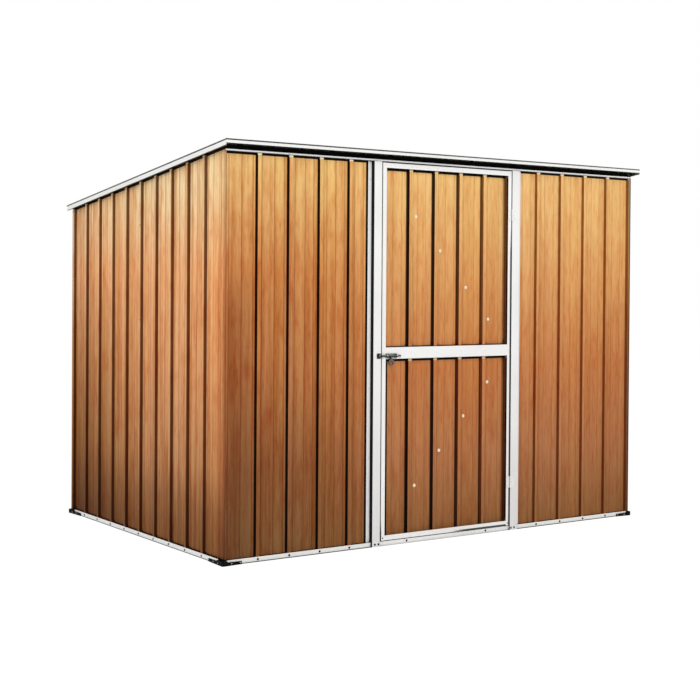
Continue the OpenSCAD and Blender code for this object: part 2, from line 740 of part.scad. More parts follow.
// Bar with chamfered ends and the flat eye that takes a padlock
module bolt_bar() color(zinc) placed() {
    translate([opening_x, bolt_y, bolt_z]) rotate([0, 90, 0]) {
        cylinder(r1 = bar_r - bar_chamfer, r2 = bar_r, h = bar_chamfer);
        translate([0, 0, bar_chamfer]) cylinder(r = bar_r, h = bar_l - 2 * bar_chamfer);
        translate([0, 0, bar_l - bar_chamfer])
            cylinder(r1 = bar_r, r2 = bar_r - bar_chamfer, h = bar_chamfer);
    }
    translate([eye_x, bolt_y, bolt_z - eye_drop]) rotate([90, 0, 0]) difference() {
        union() {
            cylinder(r = eye_r, h = eye_t, center = true);
            translate([-neck_w / 2, 0, -eye_t / 2]) cube([neck_w, eye_drop, eye_t]);
        }
        cylinder(r = eye_hole_r, h = eye_t + 2, center = true);
    }
}

base_channel_front_left();
base_channel_front_right();
base_channel_left();
base_channel_right();
base_channel_rear();
door_threshold();
corner_caps_front();
corner_caps_rear();
front_left_sheet();
front_right_sheet();
left_front_sheet();
left_rear_sheet();
right_front_sheet();
right_rear_sheet();
rear_left_sheet();
rear_middle_sheet();
rear_right_sheet();
door_post_left();
door_post_right();
top_channel_front();
top_channel_rear();
top_channel_left();
top_channel_right();
closure_front();
closure_rear();
roof_sheet_left();
roof_sheet_middle();
roof_sheet_right();
roof_purlin();
roof_trim_front();
roof_trim_rear();
roof_trim_left();
roof_trim_right();
door_sheet();
door_stile_left();
door_stile_right();
door_top_rail();
door_mid_rail();
door_bottom_rail();
door_braces();
hinge_door_leaves();
hinge_post_leaves();
bolt_plate();
bolt_bar();
bolt_keeper();
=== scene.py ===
"""Looks of the skillion garden shed: finishes, fasteners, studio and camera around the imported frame."""

import math
from typing import NamedTuple

import bpy
from mathutils import Matrix, Vector


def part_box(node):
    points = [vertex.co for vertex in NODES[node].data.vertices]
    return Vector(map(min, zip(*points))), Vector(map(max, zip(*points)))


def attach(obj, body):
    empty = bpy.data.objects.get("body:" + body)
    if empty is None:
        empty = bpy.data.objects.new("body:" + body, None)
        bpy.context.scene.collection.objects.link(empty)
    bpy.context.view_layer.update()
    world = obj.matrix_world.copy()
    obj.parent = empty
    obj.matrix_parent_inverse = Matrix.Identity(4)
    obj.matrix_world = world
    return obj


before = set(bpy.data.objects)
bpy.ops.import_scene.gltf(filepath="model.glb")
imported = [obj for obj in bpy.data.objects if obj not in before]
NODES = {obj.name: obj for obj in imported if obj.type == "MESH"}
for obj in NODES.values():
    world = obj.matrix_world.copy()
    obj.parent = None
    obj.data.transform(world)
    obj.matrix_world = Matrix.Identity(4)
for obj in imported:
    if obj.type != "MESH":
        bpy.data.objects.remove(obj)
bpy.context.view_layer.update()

MM = 0.001
WHITE = (1.0, 1.0, 1.0, 1.0)


# ---- Places taken from the frame ----

def corners(name):
    """Places of a node's vertices."""
    return [v.co for v in NODES[name].data.vertices]


def highest(name):
    """A node's highest vertex."""
    return max(corners(name), key=lambda p: p.z)


def spans(name, faces, axis):
    """Stretches of an axis that these faces of a node cover without a break, as [start, end]."""
    mesh = NODES[name].data
    found = []
    for face in faces:
        places = [mesh.vertices[i].co[axis] for i in face.vertices]
        found.append((min(places), max(places)))
    merged = []
    for start, end in sorted(found):
        if merged and start < merged[-1][1] + MM:
            merged[-1][1] = max(end, merged[-1][1])
        else:
            merged.append([start, end])
    return merged


# Outer faces of the walls' ribs
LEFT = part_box("left_rear_sheet")[0].x
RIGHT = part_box("right_rear_sheet")[1].x
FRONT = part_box("front_left_sheet")[0].y
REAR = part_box("rear_middle_sheet")[1].y
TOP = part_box("roof_trim_front")[1].z

# The plane of the tops of the roof trims, which falls to the rear
ROOF_AT = highest("roof_trim_front")
ROOF_END = highest("roof_trim_rear")
ROOF_SLOPE = (ROOF_AT.z - ROOF_END.z) / (ROOF_END.y - ROOF_AT.y)
ROOF_NORMAL = Vector((0, ROOF_SLOPE, 1)).normalized()

# The direction that each wall faces
FACING = {
    "front": Vector((0, -1, 0)),
    "rear": Vector((0, 1, 0)),
    "left": Vector((-1, 0, 0)),
    "right": Vector((1, 0, 0)),
}
# Where the rib faces of each wall lie on the axis across it
LEVELS = {"front": FRONT, "rear": REAR, "left": LEFT, "right": RIGHT}


def along(side):
    """Index of the axis along a wall."""
    return 0 if side in ("front", "rear") else 1


def across(side):
    """Name of the axis across a wall, and 1 or -1 for the way that the wall faces on it."""
    return "YX"[along(side)], sum(FACING[side])


def wall_sheets(side):
    """Names of the sheets of a wall."""
    return [n for n in NODES if n.startswith(side + "_") and n.endswith("_sheet")]


def rib_spans(name, facing, axis=0):
    """Stretches that a sheet's rib faces cover on the axis that runs across them."""
    faces = [p for p in NODES[name].data.polygons if p.normal.dot(facing) > 0.99]
    level = max(p.center.dot(facing) for p in faces)
    return spans(name, [p for p in faces if p.center.dot(facing) > level - 0.2 * MM], axis)


def rib_middles(name, facing, axis=0):
    """Middles of a sheet's ribs on the axis that runs across them."""
    return [(start + end) / 2 for start, end in rib_spans(name, facing, axis)]


def wall_ribs(side):
    """Each sheet of a wall with the middle of each of its ribs."""
    return [(n, u) for n in wall_sheets(side) for u in rib_middles(n, FACING[side], along(side))]


def roof_ribs():
    """Each sheet of the roof with the middle of each of its ribs."""
    sheets = [n for n in NODES if n.startswith("roof_sheet")]
    return [(n, u) for n in sheets for u in rib_middles(n, ROOF_NORMAL)]


def outer_faces(name, facing):
    """Faces of a node that lie furthest out in a direction."""
    faces = [p for p in NODES[name].data.polygons if p.normal.dot(facing) > 0.95]
    level = max(p.center.dot(facing) for p in faces)
    return [p for p in faces if p.center.dot(facing) > level - 0.5 * MM]


def roof_height(y):
    """Height of the plane of the tops of the roof trims."""
    return ROOF_AT.z - (y - ROOF_AT.y) * ROOF_SLOPE


def hem(name, facing):
    """How far the lower edge of a node's outer face lies under the plane of the roof."""
    mesh = NODES[name].data
    places = [mesh.vertices[i].co for p in outer_faces(name, facing) for i in p.vertices]
    return max(roof_height(p.y) - p.z for p in places)


def middle(name, axis):
    """Middle of a node's box on an axis."""
    return sum(corner[axis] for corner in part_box(name)) / 2


def seat(name, at, facing):
    """Where a line along facing through a point comes down on a node: the place and its direction."""
    hit, place, normal, _ = NODES[name].ray_cast(Vector(at) + facing * 0.2, -facing)
    if not hit:
        raise ValueError(f"{name} has no face at {tuple(at)}")
    return place, normal


def at_wall(side, u, z):
    """The point of a wall's rib faces at a place along it and a height."""
    level = LEVELS[side]
    return Vector((u, level, z)) if along(side) == 0 else Vector((level, u, z))


def post_places(post, *shares):
    """Places across the face of a door post, as shares of it from the cladding to the opening."""
    faces = [p for p in NODES[post].data.polygons if p.normal.y < -0.99]
    outer = min(p.center.y for p in faces)
    ends = spans(post, [p for p in faces if p.center.y < outer + MM], 0)[0]
    edge, jamb = ends if post == "door_post_left" else reversed(ends)
    return [edge + share * (jamb - edge) for share in shares]


# ---- Camera ----

CAMERA_AT = (-4.4619, -6.5790, 1.3262)
CAMERA_YAW = math.radians(35.141)
CAMERA_DIP = math.radians(0.724)
CAMERA_ROLL = math.radians(-0.399)
CAMERA_LENS = 70.849
CAMERA_SHIFT = (-0.03826, -0.06835)


def make_camera():
    """Camera at eye height off the near corner, with the lens shift that the framing needs."""
    data = bpy.data.cameras.new("camera")
    data.lens = CAMERA_LENS
    data.shift_x, data.shift_y = CAMERA_SHIFT
    camera = bpy.data.objects.new("camera", data)
    turn = Matrix.Rotation(-CAMERA_YAW, 4, "Z")
    tilt = Matrix.Rotation(math.pi / 2 - CAMERA_DIP, 4, "X")
    roll = Matrix.Rotation(-CAMERA_ROLL, 4, "Z")
    camera.matrix_world = Matrix.Translation(CAMERA_AT) @ turn @ tilt @ roll
    bpy.context.scene.collection.objects.link(camera)
    bpy.context.scene.camera = camera


# ---- Shader nodes ----

def colour(code):
    """Linear colour of an sRGB code such as "#dfa666"."""
    parts = [int(code[i:i + 2], 16) / 255 for i in (1, 3, 5)]
    linear = [p / 12.92 if p <= 0.04045 else ((p + 0.055) / 1.055) ** 2.4 for p in parts]
    return (*linear, 1.0)


class Nodes:
    """A node tree, built a node at a time. Inputs are sockets or plain values."""

    def __init__(self, tree):
        self.tree = tree

    def put(self, socket, value):
        if isinstance(value, bpy.types.NodeSocket):
            self.tree.links.new(value, socket)
        else:
            socket.default_value = value

    def node(self, kind, *inputs, **settings):
        made = self.tree.nodes.new(kind)
        for name, value in settings.items():
            setattr(made, name, value)
        for socket, value in zip(made.inputs, inputs):
            if value is not None:
                self.put(socket, value)
        return made

    def texture(self, kind, inputs, **settings):
        """A texture node with its inputs given by name."""
        made = self.node(kind, **settings)
        for name, value in inputs.items():
            self.put(made.inputs[name], value)
        return made

    def math(self, operation, *inputs):
        return self.node("ShaderNodeMath", *inputs, operation=operation).outputs[0]

    def times(self, first, second):
        return self.math("MULTIPLY", first, second)

    def seen(self):
        """1 where a ray from the camera, a reflection or glass looks, and 0 for light."""
        rays = self.node("ShaderNodeLightPath").outputs
        some = self.math("MAXIMUM", rays["Is Camera Ray"], rays["Is Glossy Ray"])
        return self.math("MAXIMUM", some, rays["Is Transmission Ray"])


class Shader(Nodes):
    """The node tree of one Principled material."""

    def __init__(self, name):
        self.material = bpy.data.materials.new(name)
        self.material.use_nodes = True
        super().__init__(self.material.node_tree)
        self.surface = self.tree.nodes["Principled BSDF"]
        self.coords = self.node("ShaderNodeTexCoord")
        place = self.node("ShaderNodeSeparateXYZ", self.coords.outputs["Object"])
        facing = self.node("ShaderNodeSeparateXYZ", self.coords.outputs["Normal"])
        self.at = dict(zip("XYZ", place.outputs))
        self.facing = dict(zip("XYZ", facing.outputs))

    def map(self, value, start, end, low, high, how="LINEAR"):
        made = self.node("ShaderNodeMapRange", value, start, end, low, high)
        made.interpolation_type = how
        return made.outputs[0]

    def ease(self, value, start, end):
        """0 before start and 1 after end, smooth between them; falls where start is above end."""
        if start <= end:
            return self.map(value, start, end, 0.0, 1.0, "SMOOTHSTEP")
        return self.map(value, end, start, 1.0, 0.0, "SMOOTHSTEP")

    def strip(self, value, start, end, soft=MM):
        """1 from start to end and 0 outside them."""
        return self.times(self.ease(value, start - soft, start), self.ease(value, end + soft, end))

    def run(self, kind):
        """What a shadow is measured along: "Z" for the height, "roof" for the distance under the roof."""
        return self.under_roof() if kind == "roof" else self.at[kind]

    def under_roof(self):
        """How far the surface lies under the plane of the tops of the roof trims."""
        fall = self.times(self.math("SUBTRACT", self.at["Y"], ROOF_AT.y), ROOF_SLOPE)
        return self.math("SUBTRACT", ROOF_AT.z, self.math("ADD", self.at["Z"], fall))

    def swing(self, value, amount):
        """Takes a value from 0..1 to 1 - amount..1 + amount."""
        return self.map(value, 0.0, 1.0, 1.0 - amount, 1.0 + amount)

    def vector(self, x, y, z):
        return self.node("ShaderNodeCombineXYZ", x, y, z).outputs[0]

    def noise(self, vector, scale=1.0, detail=4.0, roughness=0.55):
        made = self.texture("ShaderNodeTexNoise", {
            "Vector": vector, "Scale": scale, "Detail": detail, "Roughness": roughness})
        return made.outputs[0]

    def ramp(self, value, stops):
        made = self.node("ShaderNodeValToRGB", value)
        elements = made.color_ramp.elements
        while len(elements) < len(stops):
            elements.new(0.5)
        for element, (place, code) in zip(elements, stops):
            element.position = place
            element.color = colour(code)
        return made.outputs[0]

    def blend(self, factor, first, second, how="MIX"):
        made = self.node("ShaderNodeMix", data_type="RGBA", blend_type=how)
        self.put(made.inputs["Factor"], factor)
        for name, value in (("A", first), ("B", second)):
            socket = [s for s in made.inputs if s.name == name and s.type == "RGBA"][0]
            self.put(socket, colour(value) if isinstance(value, str) else value)
        return [s for s in made.outputs if s.type == "RGBA"][0]

    def shade(self, base, value=1.0, saturation=1.0, hue=0.5):
        return self.node("ShaderNodeHueSaturation", hue, saturation, value, 1.0, base).outputs[0]

    def steep(self, axis, start, end):
        """1 where the surface faces along an axis, either way, by more than end."""
        return self.ease(self.math("ABSOLUTE", self.facing[axis]), start, end)

    def crease_occlusion(self, reach, open_at, closed_at):
        """Ambient occlusion for painted shade: 1 deep in the corners between faces and 0 where nothing is
        within reach.
        """
        made = self.texture("ShaderNodeAmbientOcclusion", {"Distance": reach}, samples=8)
        return self.ease(made.outputs["AO"], open_at, closed_at)

    def bump(self, height, strength, distance):
        made = self.texture("ShaderNodeBump", {
            "Strength": strength, "Distance": distance, "Height": height})
        self.put(self.surface.inputs["Normal"], made.outputs[0])

    def finish(self, base, roughness, shine=0.5, metallic=0.0):
        self.put(self.surface.inputs["Base Color"], base)
        self.put(self.surface.inputs["Roughness"], roughness)
        self.surface.inputs["Specular IOR Level"].default_value = shine
        self.surface.inputs["Metallic"].default_value = metallic
        return self.material


# ---- Printed timber, with painted light and shade ----

class TonesAndShades(NamedTuple):
    """How the print's colour runs over a wall, with painted light and shade on it."""
    # The near and far ramps are the print's tone with painted light: lighter toward the top, darker toward
    # the foot
    near: list      # Ramp from foot to top at the near end
    far: list       # The same at the far end
    change: tuple   # Where along the wall the near ramp turns into the far one
    # The flanks' share is painted shade on the flanks of the ribs
    flank_shades: tuple   # Share of the colour that is left on the flanks of the ribs, near and far
    wall: tuple     # The wall's ends
    # The ramp along the wall is painted shade near the wall's ends
    ends: list      # Ramp along the wall, which the colour is multiplied by
    fade: tuple     # Two shares of the height, and how much of that ramp shows at each


class LipShadow(NamedTuple):
    """A painted shadow that a lip throws on the pans, and how strong a painted highlight it leaves on the
    ends of the ribs.
    """
    kind: str       # What start and end are measured along, as Shader.run takes it
    start: float
    end: float
    notch_highlights: float = 0.0


class ShadeLine(NamedTuple):
    """A painted line of shade between two places along a wall, from the ground to a height."""
    low: float
    high: float
    top: float = TOP
    strength: float = 1.0
    soft: float = MM


FRONT_TONES_AND_SHADES = TonesAndShades(
    near=[(0.04, "#8d653e"), (0.22, "#9a663d"), (0.45, "#c3834e"), (0.7, "#d99556"), (0.95, "#f9ce84")],
    far=[(0.04, "#9e6e43"), (0.22, "#bd8154"), (0.45, "#d18a53"), (0.7, "#ebb06e"), (0.95, "#fed187")],
    change=(LEFT + 0.4, LEFT + 1.15),
    flank_shades=("#221610", "#9c7c60"),
    wall=(LEFT, RIGHT),
    ends=[(0.0, "#dedad8"), (0.05, "#e2dedc"), (0.06, "#ffffff"), (0.9, "#ffffff"), (1.0, "#f4f4f4")],
    fade=(0.6, 0.7, 1.0, 0.3),
)
SIDE_TONES_AND_SHADES = TonesAndShades(
    near=[(0.04, "#8f6338"), (0.12, "#a3754b"), (0.22, "#cc9868"), (0.45, "#e9ad78"), (0.7, "#fcc28a"),
          (0.9, "#ffe6b4")],
    far=[(0.04, "#6d4011"), (0.22, "#a2703a"), (0.45, "#cd925b"), (0.7, "#ffc68e"), (0.85, "#ffd8a4")],
    change=(FRONT + 0.65, FRONT + 1.75),
    flank_shades=("#886848", "#886848"),
    wall=(FRONT, REAR),
    ends=[(0.0, "#b4977c"), (0.013, "#c9ad92"), (0.025, "#ecdccd"), (0.05, "#fff2e2"), (0.1, "#ffffff"),
          (0.88, "#ffffff"), (0.94, "#efefef")],
    fade=(0.5, 0.95, 1.0, 0.75),
)
# Reach past the change of tone over which the far painted shade on the flanks takes over
FLANK_SHADE_REACH = 0.6

BACK_COAT = "#d8d4c8"
# Painted shade in creases, under lips and along lines
PAINTED_SHADE = "#060302"
# Painted highlight on the ends of the ribs in the shadows under lips
NOTCH_HIGHLIGHT = "#ffeac0"

BOARD_W = 58 * MM
# How far the joints between the boards wander to each side
BOARD_WANDER = 6 * MM
# Colours that the tone is multiplied by in the grain
STREAK = "#e6cfb8"
CLOUD = "#f0d8c6"
MOTTLE = "#f3d5cb"
JOINT = "#b8865f"
JOINT_STRENGTH = 0.55

# Where a wall's surface turns from rib to pan, as depths behind the faces of the ribs
RIB_DEPTHS = (2 * MM, 1 * MM)
PAN_DEPTHS = (4 * MM, 9 * MM)
# Roughness of the print between its streaks and in them, and its dull shine
TIMBER_ROUGHNESS = (0.46, 0.6)
TIMBER_SHINE = 0.06


def wood_grain(s, base, u, calm):
    """Prints boards of uneven width on a tone, with dark joints and grain, calmer where calm is low.

    Gives back the colour, the streaks and the fine grain."""
    z = s.at["Z"]
    wander = s.noise(s.vector(s.times(u, 3.0), 0.0, s.times(z, 1.1)), 1.0, 1.0)
    at = s.math("ADD", u, s.times(wander, BOARD_WANDER))
    layout = {"W": at, "Scale": 1 / BOARD_W, "Randomness": 0.75}
    board = s.texture("ShaderNodeTexVoronoi", layout, voronoi_dimensions="1D").outputs["Color"]
    gap = s.texture("ShaderNodeTexVoronoi", layout, voronoi_dimensions="1D", feature="DISTANCE_TO_EDGE")
    joint = s.ease(gap.outputs["Distance"], 0.075, 0.02)
    tint = s.node("ShaderNodeSeparateColor", board).outputs
    own = s.times(tint[0], 30.0)

    def grain(wide, up, detail, roughness=0.55):
        """Noise with so many cells to a metre along the wall and up it, different on each board."""
        return s.noise(s.vector(s.times(u, wide), own, s.times(z, up)), 1.0, detail, roughness)

    figure = s.map(s.math("SINE", s.times(grain(9.0, 0.9, 2.0), 60.0)), -1.0, 1.0, 0.0, 1.0)
    streaks = grain(30.0, 0.8, 3.0)
    clouds = grain(14.0, 5.0, 3.0)
    mottle = grain(90.0, 12.0, 3.0, 0.6)
    fine = grain(260.0, 9.0, 3.0, 0.6)

    hue = s.map(tint[0], 0, 1, 0.498, 0.502)
    base = s.blend(calm, base, s.shade(base, s.swing(tint[1], 0.03), s.swing(tint[2], 0.028), hue))
    base = s.blend(s.times(s.ease(streaks, 0.4, 0.7), calm), base, STREAK, "MULTIPLY")
    base = s.blend(s.times(s.ease(clouds, 0.45, 0.75), calm), base, CLOUD, "MULTIPLY")
    base = s.shade(base, s.times(s.swing(figure, 0.018), s.swing(fine, 0.06)))
    base = s.blend(s.ease(mottle, 0.4, 0.8), base, MOTTLE, "MULTIPLY")
    base = s.blend(s.times(s.times(joint, JOINT_STRENGTH), calm), base, JOINT, "MULTIPLY")
    return base, streaks, fine


def shadows(s, base, side, lip_shadows, shade_lines, set_back):
    """Painted shadows: the dark bands under lips with painted highlights on the ends of the ribs in them,
    and the painted shade lines up a wall.
    """
    out, sign = across(side)
    level = LEVELS[side] * sign - set_back
    inward = s.math("SUBTRACT", level, s.times(s.at[out], sign))
    pan = s.ease(inward, *PAN_DEPTHS)
    rib = s.ease(inward, *RIB_DEPTHS)
    for kind, start, end, notch_highlights in lip_shadows:
        value = s.run(kind)
        # Painted shade over all that lies above a roof lip's band
        if kind == "roof":
            base = s.blend(s.ease(value, start, start - MM), base, PAINTED_SHADE)
        base = s.blend(s.times(s.strip(value, start, end), pan), base, PAINTED_SHADE)
        # Painted highlight on the rib ends in the band
        if notch_highlights:
            notch_highlight = s.times(s.strip(value, start, end + MM), rib)
            base = s.blend(s.times(notch_highlight, notch_highlights), base, NOTCH_HIGHLIGHT)
    for low, high, top, strength, soft in shade_lines:
        line = s.strip(s.at["XY"[along(side)]], low, high, soft)
        reach = s.map(s.at["Z"], top - MM, top, strength, 0.0)
        base = s.blend(s.times(line, reach), base, PAINTED_SHADE)
    return base


def timber(name, side, tones_and_shades, lip_shadows=(), shade_lines=(), clear=("Z", 0.0, 0.0), calm_to=1.0, set_back=0.0):
    """Printed timber on the outer face of a sheet, with painted light and shade on it, and a pale backing
    coat on the other.

    Painted shade in the creases fades in between the two values of clear. The boards' contrast falls to
    calm_to at the wall's far end, and set_back is how far the sheet's ribs lie behind those of its wall."""
    s = Shader(name)
    axis = "XY"[along(side)]
    u = s.at[axis]
    height = s.math("DIVIDE", s.at["Z"], TOP)
    way = s.ease(u, *tones_and_shades.change)
    # The print's tone with painted light, lighter toward the top and darker toward the foot
    base = s.blend(way, s.ramp(height, tones_and_shades.near), s.ramp(height, tones_and_shades.far))
    base, streaks, fine = wood_grain(s, base, u, s.map(way, 0.0, 1.0, 1.0, calm_to))
    # Painted shade near the wall's ends, weaker up the wall as fade gives
    ends = s.ramp(s.map(u, *tones_and_shades.wall, 0.0, 1.0), tones_and_shades.ends)
    base = s.blend(s.map(height, *tones_and_shades.fade), base, ends, "MULTIPLY")

    # Painted shade on the flanks of the ribs, multiplied into the colour
    far = tones_and_shades.change[1]
    flank_shade = s.blend(s.ease(u, far, far + FLANK_SHADE_REACH), *tones_and_shades.flank_shades)
    base = s.blend(s.steep(axis, 0.1, 0.3), base, flank_shade, "MULTIPLY")
    kind, bare, full = clear
    # Painted shade deep in the creases
    deep_shade = s.times(s.crease_occlusion(40 * MM, 0.72, 0.6), s.ease(s.run(kind), bare, full))
    base = s.blend(deep_shade, base, PAINTED_SHADE)
    base = shadows(s, base, side, lip_shadows, shade_lines, set_back)

    out, sign = across(side)
    back = s.ease(s.times(s.facing[out], sign), -0.05, -0.15)
    base = s.blend(back, base, BACK_COAT)
    s.bump(fine, 0.1, 0.4 * MM)
    return s.finish(base, s.map(streaks, 0.0, 1.0, *TIMBER_ROUGHNESS), TIMBER_SHINE)


def rib_feet(name, width):
    """Painted lines of shade of this width at the left foot of each rib of a front sheet."""
    front = [p for p in NODES[name].data.polygons if p.normal.y < -0.99]
    deepest = max(p.center.y for p in front)
    pans = [p for p in front if p.center.y > deepest - MM]
    return [ShadeLine(end - width, end, strength=0.9, soft=2 * MM) for _, end in spans(name, pans, 0)[:-1]]


def rib_shades(side):
    """Soft lines along the flanks of a side wall's ribs that face the front."""
    starts = {start for name in wall_sheets(side) for start, _ in rib_spans(name, FACING[side], 1)}
    return [ShadeLine(start - 9 * MM, start + 5 * MM, strength=0.35, soft=3 * MM) for start in sorted(starts)]


def make_timbers():
    """The print of each wall and the door, with its painted light and shade, by the first word of their
    sheets' names.
    """
    lip = hem("top_channel_front", FACING["front"])
    eave = hem("top_channel_rear", FACING["rear"])
    verge = hem("roof_trim_left", FACING["left"])
    base_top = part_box("base_channel_left")[1].z
    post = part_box("door_post_left")[0].x
    near_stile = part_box("door_stile_left")[1].x
    far_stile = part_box("door_stile_right")[0].x
    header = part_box("door_top_rail")[0].z
    rail_low, rail_high = (corner.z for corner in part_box("door_mid_rail"))
    foot_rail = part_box("door_bottom_rail")[1].z

    front_lip_shadows = [
        LipShadow("roof", lip - 2 * MM, lip + 8 * MM, notch_highlights=1.0),
        LipShadow("Z", base_top - 3 * MM, base_top + 1 * MM),
    ]
    # Painted shade beside the left post and at the wall's right end
    front_shade_lines = [
        ShadeLine(post - 12 * MM, post),
        ShadeLine(RIGHT - 18 * MM, RIGHT, strength=0.5, soft=4 * MM),
        ShadeLine(RIGHT - 6 * MM, RIGHT + 5 * MM, strength=0.8, soft=2 * MM),
    ]
    door_lip_shadows = [
        LipShadow("Z", header - 12 * MM, header, notch_highlights=0.5),
        LipShadow("Z", rail_high, rail_high + 4 * MM),
        LipShadow("Z", rail_low - 13 * MM, rail_low, notch_highlights=0.45),
    ]
    # Painted shade beside the stiles and at the feet of the ribs
    door_shade_lines = [
        ShadeLine(near_stile + 6 * MM, near_stile + 26 * MM, top=rail_low),
        ShadeLine(far_stile - 18 * MM, far_stile, strength=0.5, soft=4 * MM),
        *rib_feet("door_sheet", 5 * MM),
    ]
    rear_lip_shadows = [LipShadow("roof", eave, eave + 13 * MM, notch_highlights=1.0)]
    side_lip_shadows = [LipShadow("roof", verge, verge + 5 * MM, notch_highlights=0.7)]
    # Painted shade along the fold at the front corner
    corner_fold_shade = ShadeLine(FRONT, FRONT + 8 * MM, strength=0.3, soft=6 * MM)

    timbers = {
        "front": timber("timber_front", "front", FRONT_TONES_AND_SHADES, front_lip_shadows, front_shade_lines, calm_to=0.5),
        "rear": timber("timber_rear", "rear", FRONT_TONES_AND_SHADES, rear_lip_shadows, calm_to=0.5),
        "door": timber("timber_door", "front", FRONT_TONES_AND_SHADES, door_lip_shadows, door_shade_lines,
                       clear=("Z", foot_rail + 2 * MM, foot_rail + 25 * MM), calm_to=0.5,
                       set_back=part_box("door_sheet")[0].y - FRONT),
    }
    for side in ("left", "right"):
        shade_lines = [corner_fold_shade, *rib_shades(side)]
        timbers[side] = timber("timber_" + side, side, SIDE_TONES_AND_SHADES, side_lip_shadows, shade_lines,
                               clear=("roof", verge + 4 * MM, verge + 25 * MM))
    return timbers


# ---- Shades painted on the enamel ----

GAP_SHADE = "#020202"
SOFFIT_SHADE = "#030303"
LIP_SHADE = "#060606"


def dark_webs(s, base):
    """The door posts with painted light and shade: darker toward the foot, the flange painted whiter against
    its shade, and the webs and the flange's edge by the cladding in painted shadow.
    """
    # Painted shade, darker toward the foot
    base = s.shade(base, s.map(s.at["Z"], 0.0, 1.0, 0.86, 1.0))
    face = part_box("door_post_left")[0].y
    # Painted light: the flange whiter against the shade it stands in
    base = s.blend(s.ease(s.at["Y"], face + 4 * MM, face + 8 * MM), base, "#ffffff")
    # Painted shadow on the webs and on the flange's edge by the cladding
    base = s.blend(s.steep("X", 0.6, 0.9), base, GAP_SHADE)
    corner = post_places("door_post_left", 0.0)[0]
    return s.blend(s.strip(s.at["X"], corner - 2.5 * MM, corner + 2 * MM), base, GAP_SHADE)


def dark_gap(s, base):
    """Painted shade in the gap beside the door's stiles: at the foot of the left one and up to a height on
    the right.
    """
    latch_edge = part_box("door_stile_left")[0].x
    hinge_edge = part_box("door_stile_right")[1].x
    # Each gap's ends, and the heights between which its painted shade fades
    gaps = [
        (latch_edge - MM, latch_edge + 2.5 * MM, 0.07, 0.14),
        (hinge_edge - 7 * MM, hinge_edge + MM, 1.5, 1.65),
    ]
    for start, end, full, none in gaps:
        gap = s.times(s.strip(s.at["X"], start, end), s.map(s.at["Z"], full, none, 0.95, 0.0))
        base = s.blend(gap, base, GAP_SHADE)
    return base


def dark_sill(s, base):
    """Painted shade along the lower edge of the door's bottom rail, toward the hinge side."""
    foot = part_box("door_bottom_rail")[0].z
    line = s.times(s.ease(s.at["Z"], foot + 8 * MM, foot + 7 * MM), s.ease(s.at["X"], 0.0, 0.12))
    return s.blend(s.times(line, 0.97), base, GAP_SHADE)


def soffit(s, base):
    """The underside of the roof outside the walls and behind the front trim, in its own shade."""
    outside = 0.0
    for side, level in LEVELS.items():
        out, sign = across(side)
        past = s.ease(s.at[out], level - sign * 20 * MM, level)
        outside = s.math("MAXIMUM", outside, past)
    base = s.blend(s.times(outside, s.ease(s.facing["Z"], -0.3, -0.7)), base, SOFFIT_SHADE)
    behind_trim = s.strip(s.at["Y"], FRONT - 45 * MM, FRONT + 5 * MM)
    return s.blend(s.times(behind_trim, s.ease(s.facing["Y"], -0.4, -0.7)), base, SOFFIT_SHADE)


def trim_edge_shade(s, base):
    """A painted dark line of shade along the upper edge of the roof trims, a little wider at the sides, and
    the soffit's painted shade.
    """
    edge = s.map(s.steep("X", 0.5, 0.8), 0.0, 1.0, 8 * MM, 9 * MM)
    upright = s.ease(s.facing["Z"], 0.6, 0.3)
    line = s.times(s.math("LESS_THAN", s.under_roof(), edge), upright)
    return soffit(s, s.blend(line, base, "#2e302e"))


def lip_shade(s, base):
    """Painted shade on the top and back of the channels, where the trims shade them, and along the lips'
    lower edge.
    """
    lip = hem("top_channel_front", FACING["front"])
    base = s.blend(s.ease(s.facing["Z"], 0.3, 0.6), base, LIP_SHADE)
    gap = s.times(s.strip(s.at["Y"], FRONT + 8 * MM, FRONT + 60 * MM), s.ease(s.facing["Y"], -0.5, -0.8))
    base = s.blend(gap, base, LIP_SHADE)
    return s.blend(s.ease(s.under_roof(), lip - 3 * MM, lip - 2 * MM), base, LIP_SHADE)


def ground_shade(s, base):
    """Painted shade along the foot of the base channels, where they sit on the ground."""
    return s.blend(s.ease(s.at["Z"], 5.5 * MM, 4.0 * MM), base, "#161614")


# ---- Plain finishes ----

def enamel(name, code, roughness=0.35, crease_shade="#3c3a36", depths=(0.75, 0.4), extra=None, shine=0.5):
    """Powder coat with a faint orange peel, with painted shade in its corners and an extra shade painted on
    it.
    """
    s = Shader(name)
    place = s.coords.outputs["Object"]
    peel = s.noise(place, 420.0, 2.0, 0.5)
    patch = s.noise(place, 2.2, 3.0, 0.5)
    base = s.blend(s.map(patch, 0.3, 0.7, 0.0, 0.25), code, "#dcdcd8")
    if extra:
        base = extra(s, base)
    # Painted shade in the corners
    base = s.blend(s.crease_occlusion(30 * MM, *depths), base, crease_shade)
    s.bump(peel, 0.06, 0.6 * MM)
    return s.finish(base, s.map(patch, 0.0, 1.0, roughness - 0.05, roughness + 0.06), shine)


def plastic(name, code, roughness):
    """Moulded plastic or foam with a fine grain."""
    s = Shader(name)
    grain = s.noise(s.coords.outputs["Object"], 900.0, 3.0, 0.6)
    worn = s.noise(s.coords.outputs["Object"], 25.0, 3.0, 0.5)
    s.bump(grain, 0.15, 0.3 * MM)
    base = s.blend(s.map(worn, 0.35, 0.8, 0.0, 0.3), code, "#2b2a28")
    return s.finish(base, s.map(grain, 0.0, 1.0, roughness - 0.06, roughness + 0.06), 0.06)


